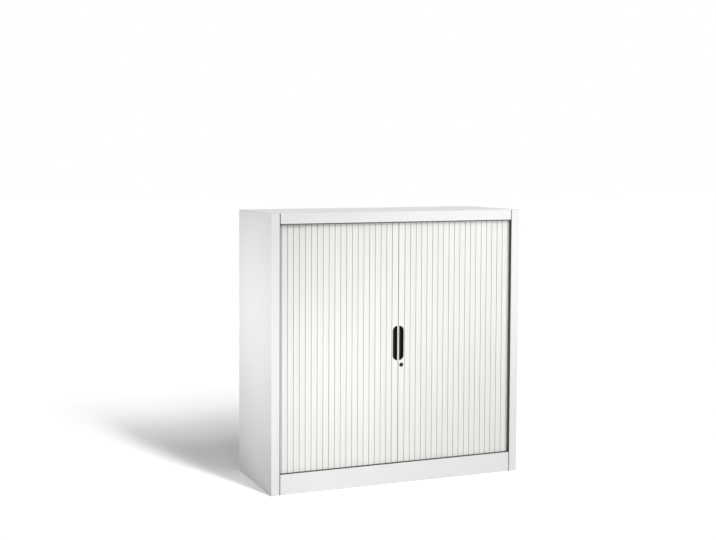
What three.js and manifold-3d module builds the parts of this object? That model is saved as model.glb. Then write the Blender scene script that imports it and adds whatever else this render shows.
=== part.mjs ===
// Tambour door cabinet: a steel carcass with two shutters of upright slats that slide sideways
// Millimetres, +Z up, front towards -Y, origin on the floor at the middle of the footprint
import * as THREE from 'three';
import { mergeVertices } from 'three/addons/utils/BufferGeometryUtils.js';
import Module from 'manifold-3d';

const wasm = await Module();
wasm.setup();

// Carcass
const cabinetWidth = 1200;
const cabinetDepth = 420;
const cabinetHeight = 1200;
const sheet = 1; // thickness of the steel
const postWidth = 37; // front face of each side panel
const postReturn = 6; // fold behind the inner edge of a post
const rearFlange = 25; // fold of a side panel behind the back panel
const footFlange = 30; // fold of a side panel along the floor
const fasciaHeight = 45;
const plinthHeight = 89;
const plinthFoot = 20; // fold of the plinth along the floor
const baseEdge = 24; // fold of the base panel at the rear
const postJoint = 4; // open joint between a post and the fascia or plinth
const seatGap = 0.3; // between two pieces that rest against each other
const overrun = 2; // how far a cutting solid passes the surface that it cuts

// Track that guides both shutters
const guideHeight = 15;
const highGuideShow = 3.5; // how far the upper track shows under the fascia
const lowGuideShow = 1; // how far the lower track shows over the plinth
const guideWall = 2.5;
const grooveDepth = 10;
const runningGap = 0.5; // between a tenon and its groove, on each side
const bendRadius = 30; // of the groove's middle line, at each corner
const rearRun = 135; // straight stretch of groove behind the inner back

// Shutters
const curtainRecess = 13; // from the cabinet's face back to the slats' face
const slatsPerDoor = 20; // besides the lead slat
const slatThickness = 8;
const slatGap = 0.9; // between two neighbours
const slatCover = 14.3; // how far the last slat reaches behind the post
const slatChamfer = 1.7;
const slatRelief = 2; // a slat is this much narrower at the back, on each side, so that it can turn
const slatEnd = 0.8; // from the tracks to a slat's face
const tenonThickness = 4.4; // tenons at both ends of a slat run in the grooves
const tenonInset = 6.5; // from a slat's edge to its tenon
const creaseWidth = 2.4; // shallow groove down the middle of a slat
const creaseDepth = 0.45;
const socketRadius = 1.4;
const socketSet = 2.2; // from a slat's edge in to the middle of its socket
const socketMouth = 1.9; // width of the slot into the socket
const tongueNeck = 0.9; // thickness
const hingeGap = 0.3; // between a tongue and its socket
const leadWidth = 31;
const leadDepth = 22; // of the stiff bar at the leading edge, from its face
const leadBarInset = 1.2; // the bar is this much narrower than its face, on each side
const leadBarEnd = 2; // from the tracks to the bar
const leadRound = 0.8; // at the meeting edge
const meetingGap = 0.6; // between the two lead slats

// Recessed grips
const gripInner = 4.2; // from the cabinet's middle to the straight edge
const gripWidth = 22.4;
const gripHeight = 152;
const gripCorner = 21.4; // radius of the two outer corners
const gripDepth = 16;
const gripWall = 1.5;
const gripMiddle = 620; // above the floor

// Lock in the right shutter
const lockAside = 15.6; // from the cabinet's middle
const lockDrop = 21; // from the grips' lower end down to the lock's middle
const lockRadius = 9;
const lockFit = 0.3; // round the cylinder and its stud
const lockProud = 1.5;
const lockBevel = 0.8;
const keywayWidth = 1.8;
const keywayHeight = 9;
const keywayDepth = 6;
const shoulder = 2; // of the cylinder behind the lead bar
const studRadius = 4;
const hookThickness = 3;
const hookHub = 8.5; // radius
const hookReach = 38; // from the cylinder's axis to the hook's end
const hookWidth = 14;
const hookRound = 3; // radius at the end of the hook
const studTail = 1.2; // of the stud behind the hook
const keeperRadius = 2.5;
const keeperReach = 30; // from the cylinder's axis to the keeper's pin
const keeperPlay = 1.2; // round the pin, along the hook
const keeperSeat = 0.7; // between the pin and the bottom of the notch
const keeperPlateWidth = 20;
const keeperPlateHeight = 36;
const keeperPlate = 1.5; // thickness

// Inside
const liningGap = 0.5; // between the lining and the track
const shelfCount = 2;
const shelfThickness = 25;
const shelfReturn = 12; // fold under the front and rear edge
const shelfSetBack = 8; // from the lock's stud to the shelves' front edge
const shelfGap = 0.6; // round a shelf
const lugWidth = 20;
const lugReach = 12;
const lugHeight = 8;
const lugInset = 24; // from the shelf's front and rear edge to the lug
const slotWidth = 4;
const slotHeight = 14;
const slotPitch = 50;
const slotMargin = 90; // from the lining's end to the first slot

// Smoothness of round stretches
const roundSteps = 32;
const bendSteps = 6;
const gripSteps = 14;
const hingeSteps = 6;
const hingeSearch = 40; // halvings

// Levels and places that follow from the sizes above
const halfWidth = cabinetWidth / 2;
const halfDepth = cabinetDepth / 2;
const front = -halfDepth;
const postEdge = halfWidth - postWidth;
const fasciaEnd = postEdge - postJoint;
const behindPost = front + postReturn + seatGap;
const behindFascia = front + sheet + seatGap;
const panelInside = halfWidth - sheet - seatGap;
const backOuter = halfDepth - sheet - seatGap;
const backInner = backOuter - sheet;
const roofUnder = cabinetHeight - sheet - seatGap;
const lowGuideTop = plinthHeight + lowGuideShow;
const lowGuideBase = lowGuideTop - guideHeight;
const highGuideBase = cabinetHeight - fasciaHeight - highGuideShow;
const highGuideTop = highGuideBase + guideHeight;
const floorTop = lowGuideBase - seatGap;
const ceilingUnder = highGuideTop + seatGap;

const curtainFace = front + curtainRecess;
const slatPitch = (postEdge + slatCover - leadWidth) / slatsPerDoor;
const chordRise = slatPitch ** 2 / (8 * bendRadius); // of a straight slat in the bend
const grooveWidth = tenonThickness + chordRise + 2 * runningGap;
const trackFront = curtainFace + slatThickness / 2;
const guideHalf = grooveWidth / 2 + guideWall;
const trackSide = panelInside - guideHalf;
const trackRear = -trackFront;
const bendX = trackSide - bendRadius;
const bendY = trackRear - bendRadius;

const slatLow = lowGuideTop + slatEnd;
const slatHigh = highGuideBase - slatEnd;
const tenonLow = lowGuideTop - grooveDepth + seatGap;
const tenonHigh = highGuideBase + grooveDepth - runningGap;
const leadBack = curtainFace + leadDepth;
const lockLevel = gripMiddle - gripHeight / 2 - lockDrop;
const hookFront = leadBack + shoulder + seatGap;
const hookBack = hookFront + hookThickness;
const studEnd = hookBack + studTail;

const liningOuter = bendX - liningGap;
const liningInner = liningOuter - sheet;
const liningFront = trackFront + guideHalf + liningGap;
const liningRear = trackRear - guideHalf - liningGap;
const shelfFront = studEnd + shelfSetBack;
const shelfRear = liningRear - sheet - shelfGap;
const shelfHalf = liningInner - shelfGap;
const roomHeight = (ceilingUnder - floorTop - shelfCount * shelfThickness) / (shelfCount + 1);

// Finishes
const bodyWhite = { color: 0xf1f2f2, roughness: 0.45, metalness: 0 };
const slatWhite = { color: 0xf3f2ec, roughness: 0.55, metalness: 0 };
const trackBlack = { color: 0x26282a, roughness: 0.6, metalness: 0 };
const gripBlack = { color: 0x141516, roughness: 0.4, metalness: 0 };
const lockMetal = { color: 0x3a3b3d, roughness: 0.3, metalness: 0.9 };
const zincMetal = { color: 0xa9acb0, roughness: 0.4, metalness: 0.9 };

function named(name, geometry, finish, place = [0, 0, 0]) {
  const mesh = new THREE.Mesh(geometry, new THREE.MeshStandardMaterial(finish));
  mesh.name = name;
  mesh.position.set(...place);
  return mesh;
}

// Solids, and the cuts and joins between them
function toSolid(geometry) {
  const bare = geometry.clone();
  bare.deleteAttribute('normal');
  bare.deleteAttribute('uv');
  const merged = mergeVertices(bare);
  return new wasm.Manifold(new wasm.Mesh({
    numProp: 3,
    vertProperties: new Float32Array(merged.attributes.position.array),
    triVerts: new Uint32Array(merged.index.array),
  }));
}

function toGeometry(solid) {
  const mesh = solid.getMesh();
  const geometry = new THREE.BufferGeometry();
  geometry.setAttribute('position', new THREE.BufferAttribute(mesh.vertProperties, mesh.numProp));
  geometry.setIndex(new THREE.BufferAttribute(mesh.triVerts, 1));
  geometry.computeVertexNormals();
  return geometry;
}

function joined(...parts) {
  return parts.reduce((whole, part) => whole.add(part));
}

function cut(whole, ...tools) {
  return tools.reduce((rest, tool) => rest.subtract(tool), whole);
}

// Moves every point of a unit shape to one of the two ends of its range along each axis
function spread(geometry, ranges) {
  const points = geometry.attributes.position;
  ranges.forEach((range, axis) => {
    for (let n = 0; range && n < points.count; n += 1) {
      points.setComponent(n, axis, range[points.getComponent(n, axis) > 0 ? 1 : 0]);
    }
  });
  return geometry;
}

// A box between two corners, given as ranges along X, Y and Z
function block(...ranges) {
  const sorted = ranges.map(([one, other]) => [Math.min(one, other), Math.max(one, other)]);
  return toSolid(spread(new THREE.BoxGeometry(1, 1, 1), sorted));
}

function shapeOf(points, side = 1, hole = null) {
  const flat = (list) => list.map(([across, along]) => new THREE.Vector2(side * across, along));
  const shape = new THREE.Shape(flat(points));
  if (hole) {
    shape.holes.push(new THREE.Path(flat(hole)));
  }
  return shape;
}

function unitPrism(shape) {
  return new THREE.ExtrudeGeometry(shape, { depth: 1, bevelEnabled: false, curveSegments: bendSteps });
}

// Outlines drawn in plan rise along Z
function risen(shape, zRange) {
  return spread(unitPrism(shape), [null, null, zRange]);
}

// Outlines drawn as seen from the front run back along Y
function run(shape, yRange) {
  const [near, far] = yRange;
  return spread(unitPrism(shape), [null, null, [-far, -near]]).rotateX(Math.PI / 2);
}

function rod(radius, yRange, x, z) {
  const geometry = spread(new THREE.CylinderGeometry(radius, radius, 1, roundSteps), [null, yRange, null]);
  return toSolid(geometry.translate(x, 0, z));
}

function arc(across, along, radius, from, to, steps) {
  return Array.from({ length: steps + 1 }, (_, step) => {
    const angle = from + (to - from) * step / steps;
    return [across + radius * Math.cos(angle), along + radius * Math.sin(angle)];
  });
}

// Side panel: outer skin with the front post, the rear flange and a flange on the floor
function sidePanel(side) {
  const skin = halfWidth - sheet;
  const plan = shapeOf([
    [postEdge, front],
    [halfWidth, front],
    [halfWidth, halfDepth],
    [halfWidth - rearFlange, halfDepth],
    [halfWidth - rearFlange, halfDepth - sheet],
    [skin, halfDepth - sheet],
    [skin, front + sheet],
    [postEdge + sheet, front + sheet],
    [postEdge + sheet, front + postReturn],
    [postEdge, front + postReturn],
  ], side);
  const foot = block(
    [side * (halfWidth - footFlange), side * skin],
    [front + sheet, backInner - seatGap],
    [0, sheet],
  );
  return toGeometry(joined(toSolid(risen(plan, [0, roofUnder])), foot));
}

// Top: cover plate, fascia and the ceiling that carries the upper track
function topPanel() {
  const underPlate = cabinetHeight - sheet;
  const inside = fasciaEnd - sheet;
  const rearEdge = backInner - seatGap;
  const fasciaLevel = [cabinetHeight - fasciaHeight, underPlate];
  const ceilingLevel = [ceilingUnder, ceilingUnder + sheet];
  return toGeometry(joined(
    block([-halfWidth, halfWidth], [front, halfDepth], [underPlate, cabinetHeight]),
    block([-fasciaEnd, fasciaEnd], [front, front + sheet], fasciaLevel),
    block([inside, fasciaEnd], [front + sheet, front + postReturn], fasciaLevel),
    block([-inside, -fasciaEnd], [front + sheet, front + postReturn], fasciaLevel),
    block([-panelInside, panelInside], [behindPost, rearEdge], ceilingLevel),
    block([-inside, inside], [front + sheet, behindPost], ceilingLevel),
    block([-panelInside, panelInside], [rearEdge - sheet, rearEdge], [ceilingUnder + sheet, underPlate]),
  ));
}

// Bottom plate that carries the lower track, with a stiffening edge at the rear
function basePanel() {
  const level = [floorTop - sheet, floorTop];
  const inside = fasciaEnd - sheet - seatGap;
  const rearEdge = backInner - seatGap;
  return toGeometry(joined(
    block([-panelInside, panelInside], [behindPost, rearEdge], level),
    block([-inside, inside], [behindFascia, behindPost], level),
    block([-panelInside, panelInside], [rearEdge - sheet, rearEdge], [level[0] - baseEdge, level[0]]),
  ));
}

function plinthPanel() {
  const inside = fasciaEnd - sheet;
  return toGeometry(joined(
    block([-fasciaEnd, fasciaEnd], [front, front + sheet], [0, plinthHeight]),
    block([-fasciaEnd, fasciaEnd], [front + sheet, front + plinthFoot], [0, sheet]),
    block([inside, fasciaEnd], [front + sheet, front + postReturn], [sheet, plinthHeight]),
    block([-inside, -fasciaEnd], [front + sheet, front + postReturn], [sheet, plinthHeight]),
  ));
}

function backPanel() {
  return toGeometry(block([-panelInside, panelInside], [backInner, backOuter], [0, roofUnder]));
}

// The track in plan: along the front, round both corners, down the sides and in behind the lining
function trackShape(half, rearEnd, lip = []) {
  const outer = bendRadius + half;
  const inner = bendRadius - half;
  const quarter = Math.PI / 2;
  const shape = new THREE.Shape();
  shape.moveTo(rearEnd, trackRear + half);
  shape.lineTo(bendX, trackRear + half);
  shape.absarc(bendX, bendY, outer, quarter, 0, true);
  shape.absarc(bendX, -bendY, outer, 0, -quarter, true);
  lip.forEach(([x, y]) => shape.lineTo(x, y));
  shape.absarc(-bendX, -bendY, outer, -quarter, -2 * quarter, true);
  shape.absarc(-bendX, bendY, outer, 2 * quarter, quarter, true);
  shape.lineTo(-rearEnd, trackRear + half);
  shape.lineTo(-rearEnd, trackRear - half);
  shape.absarc(-bendX, bendY, inner, quarter, 2 * quarter, false);
  shape.absarc(-bendX, -bendY, inner, 2 * quarter, 3 * quarter, false);
  shape.absarc(bendX, -bendY, inner, 3 * quarter, 4 * quarter, false);
  shape.absarc(bendX, bendY, inner, 0, quarter, false);
  shape.lineTo(rearEnd, trackRear - half);
  return shape;
}

function guide(zRange, grooveRange) {
  const rearEnd = bendX - rearRun;
  const lipEnd = fasciaEnd - sheet - seatGap;
  const face = trackFront - guideHalf;
  const lip = [[lipEnd, face], [lipEnd, behindFascia], [-lipEnd, behindFascia], [-lipEnd, face]];
  const strip = toSolid(risen(trackShape(guideHalf, rearEnd, lip), zRange));
  const groove = toSolid(risen(trackShape(grooveWidth / 2, rearEnd + guideWall), grooveRange));
  return toGeometry(cut(strip, groove));
}

// Lining of the room beside a pocket, with lugs for the shelves and rows of slots
function innerSide(side) {
  const level = [floorTop + seatGap, ceilingUnder - seatGap];
  const wall = block([side * liningInner, side * liningOuter], [liningFront, liningRear], level);
  const columns = [shelfFront + lugInset, shelfRear - lugInset - lugWidth];
  const shelfLevels = Array.from({ length: shelfCount }, (_, n) => shelfLevel(n));
  const lugs = columns.flatMap((y) => shelfLevels.map((z) => block(
    [side * (liningInner - lugReach), side * liningInner],
    [y, y + lugWidth],
    [z - seatGap - lugHeight, z - seatGap],
  )));
  const slotSpan = level[1] - level[0] - 2 * slotMargin;
  const slotCount = Math.floor(slotSpan / slotPitch) + 1;
  const slots = columns.flatMap((y) => Array.from({ length: slotCount }, (_, n) => {
    const z = level[0] + slotMargin + n * slotPitch;
    const middle = y + lugWidth / 2;
    return { middle, z };
  })).filter(({ z }) => shelfLevels.every((shelf) => (
    z > shelf + slotHeight || z + slotHeight < shelf - lugHeight - slotHeight
  ))).map(({ middle, z }) => block(
    [side * (liningInner - overrun), side * (liningOuter + overrun)],
    [middle - slotWidth / 2, middle + slotWidth / 2],
    [z, z + slotHeight],
  ));
  return toGeometry(cut(joined(wall, ...lugs), ...slots));
}

function innerBack() {
  const half = liningInner - seatGap;
  const level = [floorTop + seatGap, ceilingUnder - seatGap];
  return toGeometry(block([-half, half], [liningRear - sheet, liningRear], level));
}

// Shelves: underside above the floor, counted from the lowest
function shelfLevel(n) {
  return floorTop + (n + 1) * roomHeight + n * shelfThickness;
}

function shelfGeometry() {
  const profile = shapeOf([
    [shelfFront, 0],
    [shelfFront + shelfReturn, 0],
    [shelfFront + shelfReturn, sheet],
    [shelfFront + sheet, sheet],
    [shelfFront + sheet, shelfThickness - sheet],
    [shelfRear - sheet, shelfThickness - sheet],
    [shelfRear - sheet, sheet],
    [shelfRear - shelfReturn, sheet],
    [shelfRear - shelfReturn, 0],
    [shelfRear, 0],
    [shelfRear, shelfThickness],
    [shelfFront, shelfThickness],
  ]);
  const geometry = spread(unitPrism(profile), [null, null, [-shelfHalf, shelfHalf]]);
  const turn = new THREE.Matrix4().makeBasis(
    new THREE.Vector3(0, 1, 0),
    new THREE.Vector3(0, 0, 1),
    new THREE.Vector3(1, 0, 0),
  );
  return geometry.applyMatrix4(turn);
}

// Slat sections are drawn from the middle line of the track. The edge at the far side holds a socket,
// and the edge at the near side a tongue that turns in the neighbour's socket
function socketPoints(edge, level = 0) {
  const slot = Math.asin(socketMouth / 2 / socketRadius);
  return [
    [edge, level - socketMouth / 2],
    ...arc(edge - socketSet, level, socketRadius, -slot, slot - 2 * Math.PI, hingeSteps),
    [edge, level + socketMouth / 2],
  ];
}

function slatShape(side) {
  const near = socketSet + slatGap;
  const far = slatPitch + socketSet;
  const middle = (near + far) / 2;
  const face = -slatThickness / 2;
  const back = slatThickness / 2;
  const bulb = socketRadius - hingeGap;
  const slot = Math.asin(tongueNeck / 2 / bulb);
  return shapeOf([
    [near + slatChamfer, face],
    [middle - creaseWidth / 2, face],
    [middle, face + creaseDepth],
    [middle + creaseWidth / 2, face],
    [far - slatChamfer, face],
    [far, face + slatChamfer],
    ...socketPoints(far),
    [far - slatRelief, back],
    [near + slatRelief, back],
    [near, socketMouth / 2],
    [near, tongueNeck / 2],
    ...arc(0, 0, bulb, slot, 2 * Math.PI - slot, hingeSteps),
    [near, -tongueNeck / 2],
    [near, face + slatChamfer],
  ], side);
}

function tenons(side, near, far, level = 0) {
  const across = [side * (near + tenonInset), side * (far - tenonInset)];
  const through = [level - tenonThickness / 2, level + tenonThickness / 2];
  return [
    block(across, through, [tenonLow, slatLow]),
    block(across, through, [slatHigh, tenonHigh]),
  ];
}

function slatGeometry(side) {
  const body = toSolid(risen(slatShape(side), [slatLow, slatHigh]));
  return toGeometry(joined(body, ...tenons(side, socketSet + slatGap, slatPitch + socketSet)));
}

// Stiff lead slat: its bar stands between the tracks and is cut out for the grip and the lock
function leadSlat(side) {
  const near = meetingGap / 2;
  const far = leadWidth - slatGap / 2;
  const back = curtainFace + slatThickness;
  const section = shapeOf([
    [near + leadRound, curtainFace],
    [far - slatChamfer, curtainFace],
    [far, curtainFace + slatChamfer],
    ...socketPoints(far, trackFront),
    [far - slatRelief, back],
    [near, back],
    [near, curtainFace + leadRound],
  ], side);
  const bar = block(
    [side * (near + leadBarInset), side * (far - slatRelief - leadBarInset)],
    [back, leadBack],
    [lowGuideTop + leadBarEnd, highGuideBase - leadBarEnd],
  );
  const face = toSolid(risen(section, [slatLow, slatHigh]));
  const recess = toSolid(run(gripShape(side, 0), [curtainFace - overrun, curtainFace + gripDepth]));
  const body = cut(joined(face, bar, ...tenons(side, near, far, trackFront)), recess);
  const lockHole = rod(
    lockRadius + lockFit,
    [curtainFace - overrun, leadBack + overrun],
    side * lockAside,
    lockLevel,
  );
  return toGeometry(side > 0 ? cut(body, lockHole) : body);
}

// Slats are hinged on the track's middle line, which is followed from the cabinet's middle outwards
function trackPoint(travel) {
  const turned = (travel - bendX) / bendRadius;
  if (turned <= 0) {
    return new THREE.Vector2(travel, trackFront);
  }
  if (turned <= Math.PI / 2) {
    return new THREE.Vector2(
      bendX + bendRadius * Math.sin(turned),
      -bendY - bendRadius * Math.cos(turned),
    );
  }
  return new THREE.Vector2(trackSide, -bendY + travel - bendX - bendRadius * Math.PI / 2);
}

// The next hinge is one pitch away in a straight line, so a little further along a bend
function nextHinge(travel) {
  const start = trackPoint(travel);
  let [low, high] = [travel + slatPitch, travel + slatPitch * Math.PI / 2];
  for (let n = 0; n < hingeSearch; n += 1) {
    const middle = (low + high) / 2;
    if (trackPoint(middle).distanceTo(start) < slatPitch) {
      low = middle;
    } else {
      high = middle;
    }
  }
  return low;
}

function gripShape(side, inset) {
  const inner = gripInner + inset;
  const outer = gripInner + gripWidth - inset;
  const low = gripMiddle - gripHeight / 2 + inset;
  const high = gripMiddle + gripHeight / 2 - inset;
  const corner = gripCorner * (outer - inner) / gripWidth;
  const quarter = Math.PI / 2;
  return shapeOf([
    [inner, low],
    ...arc(outer - corner, low + corner, corner, -quarter, 0, gripSteps),
    ...arc(outer - corner, high - corner, corner, 0, quarter, gripSteps),
    [inner, high],
  ], side);
}

function grip(side) {
  const shell = toSolid(run(gripShape(side, seatGap), [curtainFace, curtainFace + gripDepth - seatGap]));
  const bowl = toSolid(run(
    gripShape(side, seatGap + gripWall),
    [curtainFace - overrun, curtainFace + gripDepth - seatGap - gripWall],
  ));
  return toGeometry(cut(shell, bowl));
}

// Lock: the cylinder with its keyway and stud, the hook that it turns, and the keeper
function lockCylinder() {
  const face = curtainFace - lockProud;
  const seat = hookFront - seatGap;
  const profile = [
    [0, face],
    [lockRadius - lockBevel, face],
    [lockRadius, face + lockBevel],
    [lockRadius, seat],
    [studRadius, seat],
    [studRadius, studEnd],
    [0, studEnd],
  ].map(([radius, y]) => new THREE.Vector2(radius, y));
  const turned = new THREE.LatheGeometry(profile, roundSteps).translate(lockAside, 0, lockLevel);
  const keyway = block(
    [lockAside - keywayWidth / 2, lockAside + keywayWidth / 2],
    [face - overrun, face + keywayDepth],
    [lockLevel - keywayHeight / 2, lockLevel + keywayHeight / 2],
  );
  return toGeometry(cut(toSolid(turned), keyway));
}

// The hook hangs down when unlocked, and its notch opens to the side that it turns towards
function lockHook() {
  const quarter = Math.PI / 2;
  const half = hookWidth / 2;
  const root = Math.asin(Math.sqrt(hookHub ** 2 - half ** 2) / hookHub);
  const end = lockLevel - hookReach + hookRound;
  const notchHalf = keeperRadius + keeperPlay;
  const notchTop = lockLevel - keeperReach + notchHalf;
  const notchFoot = lockLevel - keeperReach - notchHalf;
  const notchEnd = lockAside + keeperRadius + keeperSeat;
  const outline = [
    ...arc(lockAside, lockLevel, hookHub, -root, 2 * quarter + root, roundSteps / 2),
    [lockAside - half, notchTop],
    [notchEnd, notchTop],
    [notchEnd, notchFoot],
    [lockAside - half, notchFoot],
    ...arc(lockAside - half + hookRound, end, hookRound, -2 * quarter, -quarter, bendSteps),
    ...arc(lockAside + half - hookRound, end, hookRound, -quarter, 0, bendSteps),
  ];
  const hole = arc(lockAside, lockLevel, studRadius + lockFit, 0, 4 * quarter, roundSteps).slice(1);
  return run(shapeOf(outline, 1, hole), [hookFront, hookBack]);
}

function lockKeeper() {
  const aside = lockAside - keeperReach;
  const plateBack = leadBack + seatGap + keeperPlate;
  const plate = block(
    [aside - keeperPlateWidth / 2, aside + keeperPlateWidth / 2],
    [leadBack + seatGap, plateBack],
    [lockLevel - keeperPlateHeight / 2, lockLevel + keeperPlateHeight / 2],
  );
  const pin = rod(keeperRadius, [plateBack, studEnd], aside, lockLevel);
  return toGeometry(joined(plate, pin));
}

// Assembly
const highGroove = [highGuideBase - overrun, highGuideBase + grooveDepth];
const lowGroove = [lowGuideTop - grooveDepth, lowGuideTop + overrun];
const cabinet = new THREE.Group();
const carcass = new THREE.Group();
carcass.add(
  named('side_panel_left', sidePanel(-1), bodyWhite),
  named('side_panel_right', sidePanel(1), bodyWhite),
  named('top_panel', topPanel(), bodyWhite),
  named('base_panel', basePanel(), bodyWhite),
  named('plinth', plinthPanel(), bodyWhite),
  named('back_panel', backPanel(), bodyWhite),
  named('top_guide', guide([highGuideBase, highGuideTop], highGroove), trackBlack),
  named('bottom_guide', guide([lowGuideBase, lowGuideTop], lowGroove), trackBlack),
  named('inner_side_left', innerSide(-1), bodyWhite),
  named('inner_side_right', innerSide(1), bodyWhite),
  named('inner_back', innerBack(), bodyWhite),
);
['lower_shelf', 'upper_shelf'].forEach((name, n) => {
  carcass.add(named(name, shelfGeometry(), bodyWhite, [0, 0, shelfLevel(n)]));
});
cabinet.add(carcass);

for (const [word, side] of [['left', -1], ['right', 1]]) {
  const door = new THREE.Group();
  door.add(named(`${word}_lead_slat`, leadSlat(side), slatWhite));
  door.add(named(`${word}_grip`, grip(side), gripBlack));
  const slat = slatGeometry(side);
  let travel = leadWidth - slatGap / 2 - socketSet;
  for (let n = 0; n < slatsPerDoor; n += 1) {
    const hinge = trackPoint(travel);
    travel = nextHinge(travel);
    const turn = trackPoint(travel).sub(hinge).angle();
    const mesh = named(`${word}_slat_${String(n + 1).padStart(2, '0')}`, slat.clone(), slatWhite);
    mesh.position.set(side * hinge.x, hinge.y, 0);
    mesh.rotation.z = side * turn;
    door.add(mesh);
  }
  cabinet.add(door);
}

const lock = new THREE.Group();
lock.add(
  named('lock_cylinder', lockCylinder(), lockMetal),
  named('lock_hook', lockHook(), zincMetal),
  named('lock_keeper', lockKeeper(), zincMetal),
);
cabinet.add(lock);

export default cabinet;
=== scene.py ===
"""Tambour door cabinet: looks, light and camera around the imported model.

Metres, +Z up, front towards -Y, the same frame as the CAD.
"""

import math

import bmesh
import bpy
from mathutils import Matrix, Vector


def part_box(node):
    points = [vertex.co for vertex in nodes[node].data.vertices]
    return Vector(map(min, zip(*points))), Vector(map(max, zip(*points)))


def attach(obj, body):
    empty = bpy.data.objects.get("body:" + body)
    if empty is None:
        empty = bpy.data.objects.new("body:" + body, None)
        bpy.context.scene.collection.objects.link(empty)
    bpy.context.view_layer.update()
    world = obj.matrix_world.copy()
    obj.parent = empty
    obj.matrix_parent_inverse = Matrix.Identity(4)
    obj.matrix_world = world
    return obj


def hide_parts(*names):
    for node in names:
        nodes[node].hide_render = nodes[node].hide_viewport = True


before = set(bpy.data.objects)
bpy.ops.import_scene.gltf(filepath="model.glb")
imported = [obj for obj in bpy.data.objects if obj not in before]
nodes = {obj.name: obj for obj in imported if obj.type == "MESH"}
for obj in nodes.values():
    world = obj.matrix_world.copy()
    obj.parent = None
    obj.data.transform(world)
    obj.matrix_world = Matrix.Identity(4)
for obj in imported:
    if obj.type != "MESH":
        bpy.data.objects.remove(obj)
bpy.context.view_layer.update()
scene = bpy.context.scene

# What the shutters have: a left and a right one, each with this many slats besides its lead slat
SIDES = (("left", -1), ("right", 1))
SLATS = 20

# CAD nodes by what they are made of
SHEETS = (
    "side_panel_left", "side_panel_right", "top_panel", "base_panel", "plinth", "back_panel",
    "inner_side_left", "inner_side_right", "inner_back", "lower_shelf", "upper_shelf",
)
TRACKS = ("top_guide", "bottom_guide")
FITTINGS = ("lock_hook", "lock_keeper")

# Rounded edges
SHEET_EDGE = 0.0004
SLAT_EDGE = 0.0003
FITTING_EDGE = 0.0003
EDGE_ANGLE = 28  # sharper edges than this are rounded, in degrees
SMOOTH_ANGLE = 38  # flatter edges than this are shaded smooth, in degrees

# Where most values of a noise texture lie
NOISE_LOW = 0.3
NOISE_HIGH = 0.7

# Painted shade in the joints between slats: the colour is darkened where little open sky is seen
JOINT_SHADE_REACH = 0.004
JOINT_SHADE_FULL = 0.35  # share of open sky at which the painted shade is full
JOINT_SHADE_NONE = 0.9  # and at which there is none


# Node materials
def new_material(name, kind="ShaderNodeBsdfPrincipled"):
    """A material whose node tree holds its shader and nothing else yet."""
    material = bpy.data.materials.new(name)
    material.use_nodes = True
    tree = material.node_tree
    tree.nodes.clear()
    output = tree.nodes.new("ShaderNodeOutputMaterial")
    shader = tree.nodes.new(kind)
    tree.links.new(shader.outputs["BSDF"], output.inputs["Surface"])
    return material, tree, shader


def own_place(tree):
    """The piece's own position in metres, which moves along with it."""
    return tree.nodes.new("ShaderNodeTexCoord").outputs["Object"]


def place_scaled(tree, scale):
    """The piece's own position, scaled alike on all axes or by axis."""
    mapping = tree.nodes.new("ShaderNodeMapping")
    mapping.inputs["Scale"].default_value = scale if isinstance(scale, tuple) else (scale, scale, scale)
    tree.links.new(own_place(tree), mapping.inputs["Vector"])
    return mapping.outputs["Vector"]


def noise(tree, scale, detail, roughness=0.5):
    """Noise with about scale features in a metre."""
    texture = tree.nodes.new("ShaderNodeTexNoise")
    texture.inputs["Scale"].default_value = 1.0
    texture.inputs["Detail"].default_value = detail
    texture.inputs["Roughness"].default_value = roughness
    tree.links.new(place_scaled(tree, scale), texture.inputs["Vector"])
    return texture.outputs["Fac"]


def remap(tree, value, low, high, start=NOISE_LOW, end=NOISE_HIGH):
    """Low where the value is at start, high where it is at end, and held at both past them."""
    node = tree.nodes.new("ShaderNodeMapRange")
    for socket, number in zip(("From Min", "From Max", "To Min", "To Max"), (start, end, low, high)):
        node.inputs[socket].default_value = number
    tree.links.new(value, node.inputs["Value"])
    return node.outputs["Result"]


def reckon(tree, operation, *values):
    """A Math node on sockets or plain numbers."""
    node = tree.nodes.new("ShaderNodeMath")
    node.operation = operation
    for socket, value in zip(node.inputs, values):
        if isinstance(value, (int, float)):
            socket.default_value = value
        else:
            tree.links.new(value, socket)
    return node.outputs["Value"]


def scaled(tree, color, factor):
    """The colour times a factor."""
    multiply = tree.nodes.new("ShaderNodeVectorMath")
    multiply.operation = "SCALE"
    tree.links.new(color, multiply.inputs[0])
    tree.links.new(factor, multiply.inputs["Scale"])
    return multiply.outputs["Vector"]


def tint(tree, value, first, second):
    """A colour that goes from first to second over the range of a noise."""
    ramp = tree.nodes.new("ShaderNodeValToRGB")
    for element, position, color in zip(ramp.color_ramp.elements, (NOISE_LOW, NOISE_HIGH), (first, second)):
        element.position = position
        element.color = (*color, 1)
    tree.links.new(value, ramp.inputs["Fac"])
    return ramp.outputs["Color"]


def bumps(tree, shader, layers):
    """Each layer is (height, depth in metres); they lie on one another."""
    below = None
    for height, depth in layers:
        bump = tree.nodes.new("ShaderNodeBump")
        bump.inputs["Strength"].default_value = 1.0
        bump.inputs["Distance"].default_value = depth
        tree.links.new(height, bump.inputs["Height"])
        if below:
            tree.links.new(below, bump.inputs["Normal"])
        below = bump.outputs["Normal"]
    tree.links.new(below, shader.inputs["Normal"])


def uneven_finish(tree, shader, color, wear, rough, less, more):
    """Gives the shader its colour, and a roughness that goes from less to more with the wear."""
    tree.links.new(color, shader.inputs["Base Color"])
    tree.links.new(remap(tree, wear, rough - less, rough + more), shader.inputs["Roughness"])


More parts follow.
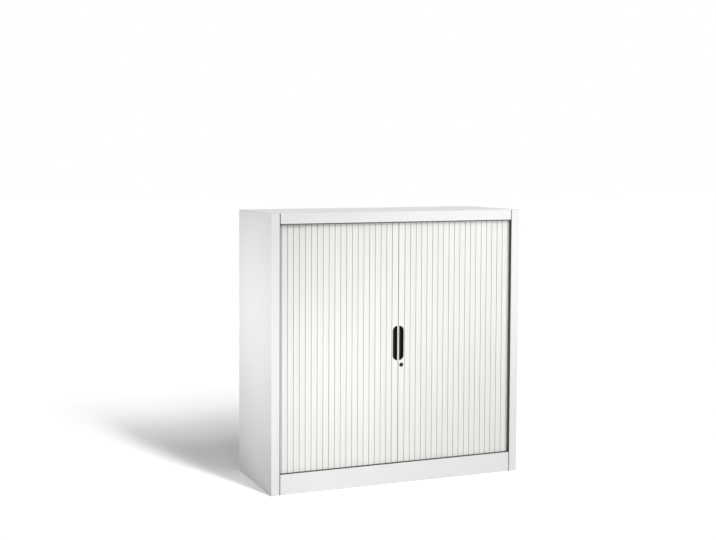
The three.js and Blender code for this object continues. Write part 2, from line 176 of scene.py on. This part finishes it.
def painted_joint_shade(tree, color, strength):
    """Paints shade: darkens the colour where neighbouring surfaces stand close together."""
    open_sky = tree.nodes.new("ShaderNodeAmbientOcclusion")
    open_sky.samples = 8
    open_sky.inputs["Distance"].default_value = JOINT_SHADE_REACH
    joint_shade_share = remap(tree, open_sky.outputs["AO"], 1 - strength, 1.0, start=JOINT_SHADE_FULL, end=JOINT_SHADE_NONE)
    return scaled(tree, color, joint_shade_share)


def painted_shade_at_meeting_edge(tree, color, full, clear, share):
    """Paints shade beside the plane X = 0, where the lead slats meet: darkens the colour to a share of
    itself, all of it up to full, none at clear.

    Between the grips the painted shade is left off.
    """
    low, high = (corner.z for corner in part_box("right_grip"))
    middle, half = (low + high) / 2, (high - low) / 2
    fade = 0.004
    split = tree.nodes.new("ShaderNodeSeparateXYZ")
    tree.links.new(own_place(tree), split.inputs["Vector"])
    aside = reckon(tree, "ABSOLUTE", split.outputs["X"])
    beside_edge = remap(tree, aside, 1.0, 0.0, start=full, end=clear)
    from_middle = reckon(tree, "ABSOLUTE", reckon(tree, "SUBTRACT", split.outputs["Z"], middle))
    past_grips = remap(tree, from_middle, 0.0, 1.0, start=half - fade, end=half + fade)
    meeting_edge_shade = reckon(tree, "MULTIPLY", beside_edge, past_grips)
    return scaled(tree, color, remap(tree, meeting_edge_shade, 1.0, share, start=0.0, end=1.0))


def powder_coat(name, color, rough):
    """Baked powder: slightly uneven, with an orange peel and a fine grain."""
    peel_depth, grain_depth = 0.00008, 0.000012
    material, tree, shader = new_material(name)
    broad = noise(tree, 5, detail=3)
    peel = noise(tree, 380, detail=1)
    grain = noise(tree, 1900, detail=1)
    shade = [c * 0.985 for c in color]
    uneven_finish(tree, shader, tint(tree, broad, shade, color), broad, rough, less=0.04, more=0.04)
    bumps(tree, shader, [(peel, peel_depth), (grain, grain_depth)])
    return material


def extruded(name, color, rough, along=(1500, 1500, 9), joint_shade=0.0, meeting_edge_shade=None):
    """A surface with fine lines along the piece, as the die leaves them."""
    line_depth, grain_depth = 0.00003, 0.00001
    material, tree, shader = new_material(name)
    lines = noise(tree, along, detail=3, roughness=0.6)
    broad = noise(tree, (9, 9, 3), detail=2)
    grain = noise(tree, 2600, detail=1)
    shade = [c * 0.975 for c in color]
    finish = tint(tree, broad, shade, color)
    # painted shade in the joints, where neighbouring slats stand close
    if joint_shade:
        finish = painted_joint_shade(tree, finish, joint_shade)
    # painted shade beside the edge where the lead slats meet
    if meeting_edge_shade:
        finish = painted_shade_at_meeting_edge(tree, finish, **meeting_edge_shade)
    uneven_finish(tree, shader, finish, lines, rough, less=0.05, more=0.05)
    bumps(tree, shader, [(lines, line_depth), (grain, grain_depth)])
    return material


def moulded(name, color, rough, specular=0.5):
    """Dark plastic or rubber with the fine grain of its mould."""
    grain_depth = 0.00003
    material, tree, shader = new_material(name)
    shader.inputs["Specular IOR Level"].default_value = specular
    grain = noise(tree, 2100, detail=2)
    broad = noise(tree, 40, detail=2)
    light = [c * 1.25 + 0.002 for c in color]
    uneven_finish(tree, shader, tint(tree, broad, color, light), broad, rough, less=0.05, more=0.05)
    bumps(tree, shader, [(grain, grain_depth)])
    return material


def plated(name, color, rough):
    """Metal with a faint spangle and fine wear."""
    wear_depth = 0.00001
    material, tree, shader = new_material(name)
    shader.inputs["Metallic"].default_value = 1.0
    spangle = tree.nodes.new("ShaderNodeTexVoronoi")
    spangle.inputs["Scale"].default_value = 1.0
    tree.links.new(place_scaled(tree, 260), spangle.inputs["Vector"])
    wear = noise(tree, 700, detail=3)
    shade = [c * 0.82 for c in color]
    finish = tint(tree, spangle.outputs["Distance"], color, shade)
    uneven_finish(tree, shader, finish, wear, rough, less=0.07, more=0.1)
    bumps(tree, shader, [(wear, wear_depth)])
    return material


BODY = powder_coat("white_powder_coat", (0.818, 0.825, 0.823), rough=0.42)
# slats and lead slats get painted shade in their joints
SLAT = extruded("slat_plastic", (0.872, 0.864, 0.836), rough=0.5, joint_shade=0.58)
# the lead slats also get painted shade beside their meeting edge
LEAD = extruded("lead_slat_coat", (0.866, 0.859, 0.832), rough=0.46, joint_shade=0.97,
                meeting_edge_shade={"full": 0.0011, "clear": 0.0019, "share": 0.2})
TRACK = extruded("track_plastic", (0.026, 0.027, 0.029), rough=0.5, along=(60, 60, 1200))
GRIP = moulded("grip_plastic", (0.007, 0.008, 0.008), rough=0.4, specular=0.28)
TRIM = moulded("edge_trim_rubber", (0.02, 0.022, 0.021), rough=0.6)
LOCK = plated("lock_black_nickel", (0.048, 0.048, 0.05), rough=0.3)
ZINC = plated("zinc_plate", (0.56, 0.58, 0.6), rough=0.34)


# Pieces
def finish_with(obj, material, edge=None):
    """Gives a piece its one material, and rounds its edges where a width is given."""
    obj.data.materials.clear()
    obj.data.materials.append(material)
    if edge:
        bevel = obj.modifiers.new("edges", "BEVEL")
        bevel.width = edge
        bevel.segments = 2
        bevel.limit_method = "ANGLE"
        bevel.angle_limit = math.radians(EDGE_ANGLE)
        bevel.use_clamp_overlap = True
        bevel.harden_normals = True


def filled_mesh(name, fill):
    """A mesh whose faces the function fill makes."""
    mesh = bpy.data.meshes.new(name)
    shape = bmesh.new()
    fill(shape)
    bmesh.ops.recalc_face_normals(shape, faces=shape.faces)
    shape.to_mesh(mesh)
    shape.free()
    return mesh


def placed(name, data):
    """A new object in the scene."""
    obj = bpy.data.objects.new(name, data)
    scene.collection.objects.link(obj)
    return obj


def new_piece(name, fill, material, body):
    """A piece of a body, smooth but for its sharp edges."""
    mesh = filled_mesh(name, fill)
    mesh.polygons.foreach_set("use_smooth", [True] * len(mesh.polygons))
    mesh.set_sharp_from_angle(angle=math.radians(SMOOTH_ANGLE))
    piece = placed(name, mesh)
    finish_with(piece, material)
    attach(piece, body)
    return piece


def loft(shape, rings):
    """Skin over rings of as many points each, closed at both ends."""
    made = [[shape.verts.new(point) for point in ring] for ring in rings]
    for one, other in zip(made, made[1:]):
        for n in range(len(one)):
            m = (n + 1) % len(one)
            shape.faces.new((one[n], one[m], other[m], other[n]))
    shape.faces.new(made[0])
    shape.faces.new(made[-1])


def arc(x, y, radius, start, end, steps):
    """Points on an arc, angles in degrees."""
    angles = [math.radians(start + (end - start) * n / steps) for n in range(steps + 1)]
    return [(x + radius * math.cos(a), y + radius * math.sin(a)) for a in angles]


for name in SHEETS:
    finish_with(nodes[name], BODY, SHEET_EDGE)
for name in TRACKS:
    finish_with(nodes[name], TRACK, SHEET_EDGE)
for word, side in SIDES:
    finish_with(nodes[f"{word}_lead_slat"], LEAD, SLAT_EDGE)
    for n in range(SLATS):
        finish_with(nodes[f"{word}_slat_{n + 1:02d}"], SLAT, SLAT_EDGE)
    finish_with(nodes[f"{word}_grip"], GRIP)
finish_with(nodes["lock_cylinder"], LOCK)
for name in FITTINGS:
    finish_with(nodes[name], ZINC, FITTING_EDGE)


# Recessed grips: a rounded rim, drafted walls and a bowl with a filleted floor
GRIP_ROUND = 21.4 / 22.4  # radius of the outer corners, as a share of the grip's width
GRIP_ROUND_STEPS = 20
GRIP_TIP = 0.0009  # radius of the inner corners
GRIP_TIP_ROOM = 0.9  # share that they may take of the straight part beside the outer corners
GRIP_TIP_STEPS = 4
GRIP_FLOOR = 0.0015  # thickness of the bowl's floor
# Section of the rim: how far inside the outline, and how far behind the face or, if negative, before it
GRIP_RIM = (
    (0.0, 0.0002), (0.0001, -0.0002), (0.0004, -0.0005), (0.0008, -0.0006),
    (0.0012, -0.0005), (0.0015, -0.0002), (0.0016, 0.0003), (0.0019, 0.005),
)
# Section of the bowl: how far inside the outline, and how far above the floor
GRIP_BOWL = ((0.0022, 0.003), (0.0026, 0.0016), (0.0034, 0.0006), (0.0048, 0.0001), (0.0066, 0.0))


def grip_outline(low, high, inset):
    """Ring in X and Z, seen from the front, for the right grip: straight inner side, round outer side."""
    inner, outer = low.x + inset, high.x - inset
    foot, head = low.z + inset, high.z - inset
    corner = GRIP_ROUND * (outer - inner)
    tip = min(GRIP_TIP, (outer - inner - corner) * GRIP_TIP_ROOM)
    return [
        *arc(inner + tip, foot + tip, tip, 180, 270, GRIP_TIP_STEPS),
        *arc(outer - corner, foot + corner, corner, -90, 0, GRIP_ROUND_STEPS),
        *arc(outer - corner, head - corner, corner, 0, 90, GRIP_ROUND_STEPS),
        *arc(inner + tip, head - tip, tip, 90, 180, GRIP_TIP_STEPS),
    ]


def refined_grip(word, side):
    """Takes the place of one side's plain grip."""
    low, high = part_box("right_grip")
    face, back = low.y, high.y
    levels = [(0.0, back)]
    levels += [(inset, face + behind) for inset, behind in GRIP_RIM]
    levels += [(inset, back - GRIP_FLOOR - above) for inset, above in GRIP_BOWL]

    def shell(shape):
        loft(shape, [[(side * x, y, z) for x, z in grip_outline(low, high, inset)] for inset, y in levels])

    piece = new_piece(f"{word}_grip_shell", shell, GRIP, f"{word}_door_edge")
    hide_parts(f"{word}_grip")


# Lock: bezel, sunk ring, plug with its keyway, barrel and stud
LOCK_STEPS = 64
STUD_RADIUS = 0.004
STUD_GAP = 0.0003  # between the barrel's end and the hook
PLUG_MIDDLE = 0.0015  # radius of the flat in the middle of the plug
PLUG_LEVEL = 0.0001  # the plug's front behind the face
# Section of the front: how far inside the barrel's radius, and how far behind the face
LOCK_FRONT = (
    (0.0, 0.0008), (0.0002, 0.0003), (0.0006, 0.0), (0.0017, 0.0), (0.0021, 0.0003),
    (0.0022, 0.0009), (0.0026, 0.0009), (0.0027, 0.0004), (0.0031, PLUG_LEVEL),
)
KEYWAY_HALF_HEIGHT = 0.0045
KEYWAY_HALF_WIDTH = 0.0009
KEYWAY_DEPTH = 0.006
KEYWAY_RUN_IN = 0.001  # the cutter starts this far in front of the face
KEYWAY_STEPS = 8


def refined_lock():
    """Takes the place of the plain lock cylinder."""
    low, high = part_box("lock_cylinder")
    middle_x, middle_z = (low.x + high.x) / 2, (low.z + high.z) / 2
    radius, face, end = (high.x - low.x) / 2, low.y, high.y
    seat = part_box("lock_hook")[0].y - STUD_GAP
    profile = [(STUD_RADIUS, end), (STUD_RADIUS, seat), (radius, seat)]
    profile += [(radius - inset, face + behind) for inset, behind in LOCK_FRONT]
    profile += [(PLUG_MIDDLE, face + PLUG_LEVEL)]

    def turned(shape):
        rings = []
        for ring_radius, y in profile:
            ring = arc(middle_x, middle_z, ring_radius, 0, 360, LOCK_STEPS)[:-1]
            rings.append([(x, y, z) for x, z in ring])
        loft(shape, rings)

    piece = new_piece("lock_barrel", turned, LOCK, "lock")
    cut_keyway(piece, middle_x, face, middle_z)
    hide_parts("lock_cylinder")


def cut_keyway(piece, x, face, z):
    """A slot with round ends, cut into the plug."""
    reach = KEYWAY_HALF_HEIGHT - KEYWAY_HALF_WIDTH

    def slot(shape):
        ring = arc(x, z + reach, KEYWAY_HALF_WIDTH, 0, 180, KEYWAY_STEPS)
        ring += arc(x, z - reach, KEYWAY_HALF_WIDTH, 180, 360, KEYWAY_STEPS)
        loft(shape, [[(a, y, b) for a, b in ring] for y in (face - KEYWAY_RUN_IN, face + KEYWAY_DEPTH)])

    tool = placed("keyway", filled_mesh("keyway", slot))
    cutter = piece.modifiers.new("keyway", "BOOLEAN")
    cutter.operation = "DIFFERENCE"
    cutter.solver = "EXACT"
    cutter.object = tool
    bpy.context.view_layer.update()
    cut = piece.evaluated_get(bpy.context.evaluated_depsgraph_get())
    piece.data = bpy.data.meshes.new_from_object(cut)
    piece.modifiers.clear()
    piece.data.set_sharp_from_angle(angle=math.radians(SMOOTH_ANGLE))
    bpy.data.objects.remove(tool)


for word, side in SIDES:
    refined_grip(word, side)
refined_lock()


# Black trim in the open joints beside the posts, and the seal behind it that wipes along the slats
STRIP_GAP = 0.0003  # clear space round both
STRIP_STEPS = 6
TRIM_FRONT = 0.0009  # behind the post's face
TRIM_BACK = 0.0054
TRIM_ROUND = 0.0009
TOP_SHEET = 0.001  # thickness of the top panel, under which the trim ends
SEAL_FRONT = 0.0055  # behind the post's face
SEAL_THICK = 0.0018
SEAL_ROUND = 0.0007
SEAL_TO_SLATS = 0.0013
SEAL_TO_TRACKS = 0.001


def strip(name, side, outline, low, high):
    """An upright strip on the carcass, from its outline in X and Y on the right."""

    def upright(shape):
        loft(shape, [[(side * x, y, z) for x, y in outline] for z in (low, high)])

    new_piece(name, upright, TRIM, "carcass")


def edge_trim(word, side):
    """Fills the joint between post and plinth, from the floor to the top panel."""
    post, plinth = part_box("side_panel_right")[0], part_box("plinth")[1]
    near, far = plinth.x + STRIP_GAP, post.x - STRIP_GAP
    front, back = post.y + TRIM_FRONT, post.y + TRIM_BACK
    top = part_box("top_panel")[1].z - TOP_SHEET - STRIP_GAP
    outline = [
        (far, back), (near, back),
        *arc(near + TRIM_ROUND, front + TRIM_ROUND, TRIM_ROUND, 180, 270, STRIP_STEPS),
        *arc(far - TRIM_ROUND, front + TRIM_ROUND, TRIM_ROUND, 270, 360, STRIP_STEPS),
    ]
    strip(f"{word}_edge_trim", side, outline, STRIP_GAP, top)


def edge_seal(word, side):
    """Lies behind the trim, from track to track, just before the slats."""
    post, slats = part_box("side_panel_right")[0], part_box("right_slat_01")[0]
    far = post.x - STRIP_GAP
    near = far - SEAL_THICK
    front, back = post.y + SEAL_FRONT, slats.y - SEAL_TO_SLATS
    low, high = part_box("bottom_guide")[1].z + SEAL_TO_TRACKS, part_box("top_guide")[0].z - SEAL_TO_TRACKS
    outline = [
        (far, front), (near, front),
        *arc(near + SEAL_ROUND, back - SEAL_ROUND, SEAL_ROUND, 180, 90, STRIP_STEPS),
        *arc(far - SEAL_ROUND, back - SEAL_ROUND, SEAL_ROUND, 90, 0, STRIP_STEPS),
    ]
    strip(f"{word}_edge_seal", side, outline, low, high)


for word, side in SIDES:
    edge_trim(word, side)
    edge_seal(word, side)


# Stage: a white floor. To the camera an evenly lit stretch of it is just white, and shadow stays grey
FLOOR_REACH = 40.0
FLOOR_TO_CAMERA = 1.4
FLOOR_TO_LIGHT = 0.55


def floor_material():
    material, tree, shader = new_material("floor_white", "ShaderNodeBsdfDiffuse")
    path = tree.nodes.new("ShaderNodeLightPath")
    mix = tree.nodes.new("ShaderNodeMix")
    mix.data_type = "RGBA"
    mix.clamp_result = False
    mix.inputs["A"].default_value = (FLOOR_TO_LIGHT, FLOOR_TO_LIGHT, FLOOR_TO_LIGHT, 1)
    mix.inputs["B"].default_value = (FLOOR_TO_CAMERA, FLOOR_TO_CAMERA, FLOOR_TO_CAMERA, 1)
    tree.links.new(path.outputs["Is Camera Ray"], mix.inputs["Factor"])
    tree.links.new(mix.outputs["Result"], shader.inputs["Color"])
    return material


floor_mesh = bpy.data.meshes.new("floor")
floor_corners = [(x * FLOOR_REACH, y * FLOOR_REACH, 0) for x, y in ((-1, -1), (1, -1), (1, 1), (-1, 1))]
floor_mesh.from_pydata(floor_corners, [], [(0, 1, 2, 3)])
floor_mesh.materials.append(floor_material())
floor = placed("floor", floor_mesh)

# World: white where it is seen, mirrored or looked through to, and a soft even light elsewhere
AMBIENT = 0.29


def background(tree, strength):
    """White light from all round."""
    node = tree.nodes.new("ShaderNodeBackground")
    node.inputs["Color"].default_value = (1, 1, 1, 1)
    node.inputs["Strength"].default_value = strength
    return node.outputs["Background"]


def studio_world():
    world = bpy.data.worlds.new("studio")
    world.use_nodes = True
    tree = world.node_tree
    tree.nodes.clear()
    output = tree.nodes.new("ShaderNodeOutputWorld")
    path = tree.nodes.new("ShaderNodeLightPath")
    direct = reckon(tree, "MAXIMUM", path.outputs["Is Camera Ray"], path.outputs["Is Glossy Ray"])
    seen = reckon(tree, "MAXIMUM", direct, path.outputs["Is Transmission Ray"])
    mix = tree.nodes.new("ShaderNodeMixShader")
    tree.links.new(seen, mix.inputs[0])
    tree.links.new(background(tree, AMBIENT), mix.inputs[1])
    tree.links.new(background(tree, 1.0), mix.inputs[2])
    tree.links.new(mix.outputs["Shader"], output.inputs["Surface"])
    return world


scene.world = studio_world()

# Far lamps: azimuth from the front towards the right, elevation and width, all in degrees, and strength
FAR_SOFTBOXES = {
    "key_low": (17, 36, 11, 0.146),
    "key_broad": (18, 44, 7, 0.153),
    "key_firm": (20, 50, 5, 0.11),
    "key_middle": (20, 57, 7, 0.087),
    "key_high": (20, 65, 9, 0.089),
}

# Diffused spots: place, aim, cone in degrees, watts, radius
SOFT_SPOTS = {
    "side_glow": ((-7.0, -0.7, 1.0), (-0.6, 0, 0.85), 15.2, 1030, 0.5),
    "low_side_glow": ((-7.0, -0.7, 0.3), (-0.6, 0, 0.42), 15.2, 500, 0.5),
    "right_glow": ((1.5, -3.4, 1.9), (0.45, -0.2, 1.05), 26, 96, 0.4),
    "left_glow": ((-0.9, -3.6, 1.0), (-0.42, -0.2, 0.48), 20, 125, 0.4),
    "wide_right": ((4.5, -8.0, 0.7), (0, -0.2, 0.6), 26, 645, 0.8),
}


def aimed(name, data, place, aim):
    """A lamp that shines from its place towards its aim."""
    lamp = placed(name, data)
    lamp.location = place
    lamp.rotation_euler = (Vector(aim) - Vector(place)).to_track_quat("-Z", "Y").to_euler()


def far_softbox(name, azimuth, elevation, width, strength):
    """A lamp so far away that its light comes from one side everywhere."""
    data = bpy.data.lights.new(name, "SUN")
    data.angle = math.radians(width)
    data.energy = strength * math.pi
    a, e = math.radians(azimuth), math.radians(elevation)
    towards = (math.sin(a) * math.cos(e), -math.cos(a) * math.cos(e), math.sin(e))
    aimed(name, data, towards, (0, 0, 0))


def soft_spot(name, place, aim, cone, watts, radius):
    """A spot whose edge fades out over its whole cone."""
    data = bpy.data.lights.new(name, "SPOT")
    data.spot_size = math.radians(cone)
    data.spot_blend = 1.0
    data.shadow_soft_size = radius
    data.energy = watts
    aimed(name, data, place, aim)


for name, settings in FAR_SOFTBOXES.items():
    far_softbox(name, *settings)
for name, settings in SOFT_SPOTS.items():
    soft_spot(name, *settings)

# Camera, fitted to the photograph: lengths on the picture in its pixels, angles in degrees
PHOTO_WIDTH, PHOTO_HEIGHT = 716, 540
FOCAL_LENGTH = 1094
AXIS_X, AXIS_Y = 250, 215  # where the camera's axis meets the picture
CAMERA_PLACE = (-2.201, -4.49, 1.4115)
CAMERA_DOWN = 2.73
CAMERA_RIGHT = 19.38
SENSOR = 36.0  # millimetres

camera_data = bpy.data.cameras.new("camera")
camera_data.sensor_width = SENSOR
camera_data.lens = FOCAL_LENGTH / PHOTO_WIDTH * SENSOR
camera_data.shift_x = (PHOTO_WIDTH / 2 - AXIS_X) / PHOTO_WIDTH
camera_data.shift_y = (AXIS_Y - PHOTO_HEIGHT / 2) / PHOTO_WIDTH
camera = placed("camera", camera_data)
camera.location = CAMERA_PLACE
camera.rotation_euler = (math.radians(90 - CAMERA_DOWN), 0, math.radians(-CAMERA_RIGHT))
scene.camera = camera

scene.view_settings.view_transform = "Standard"
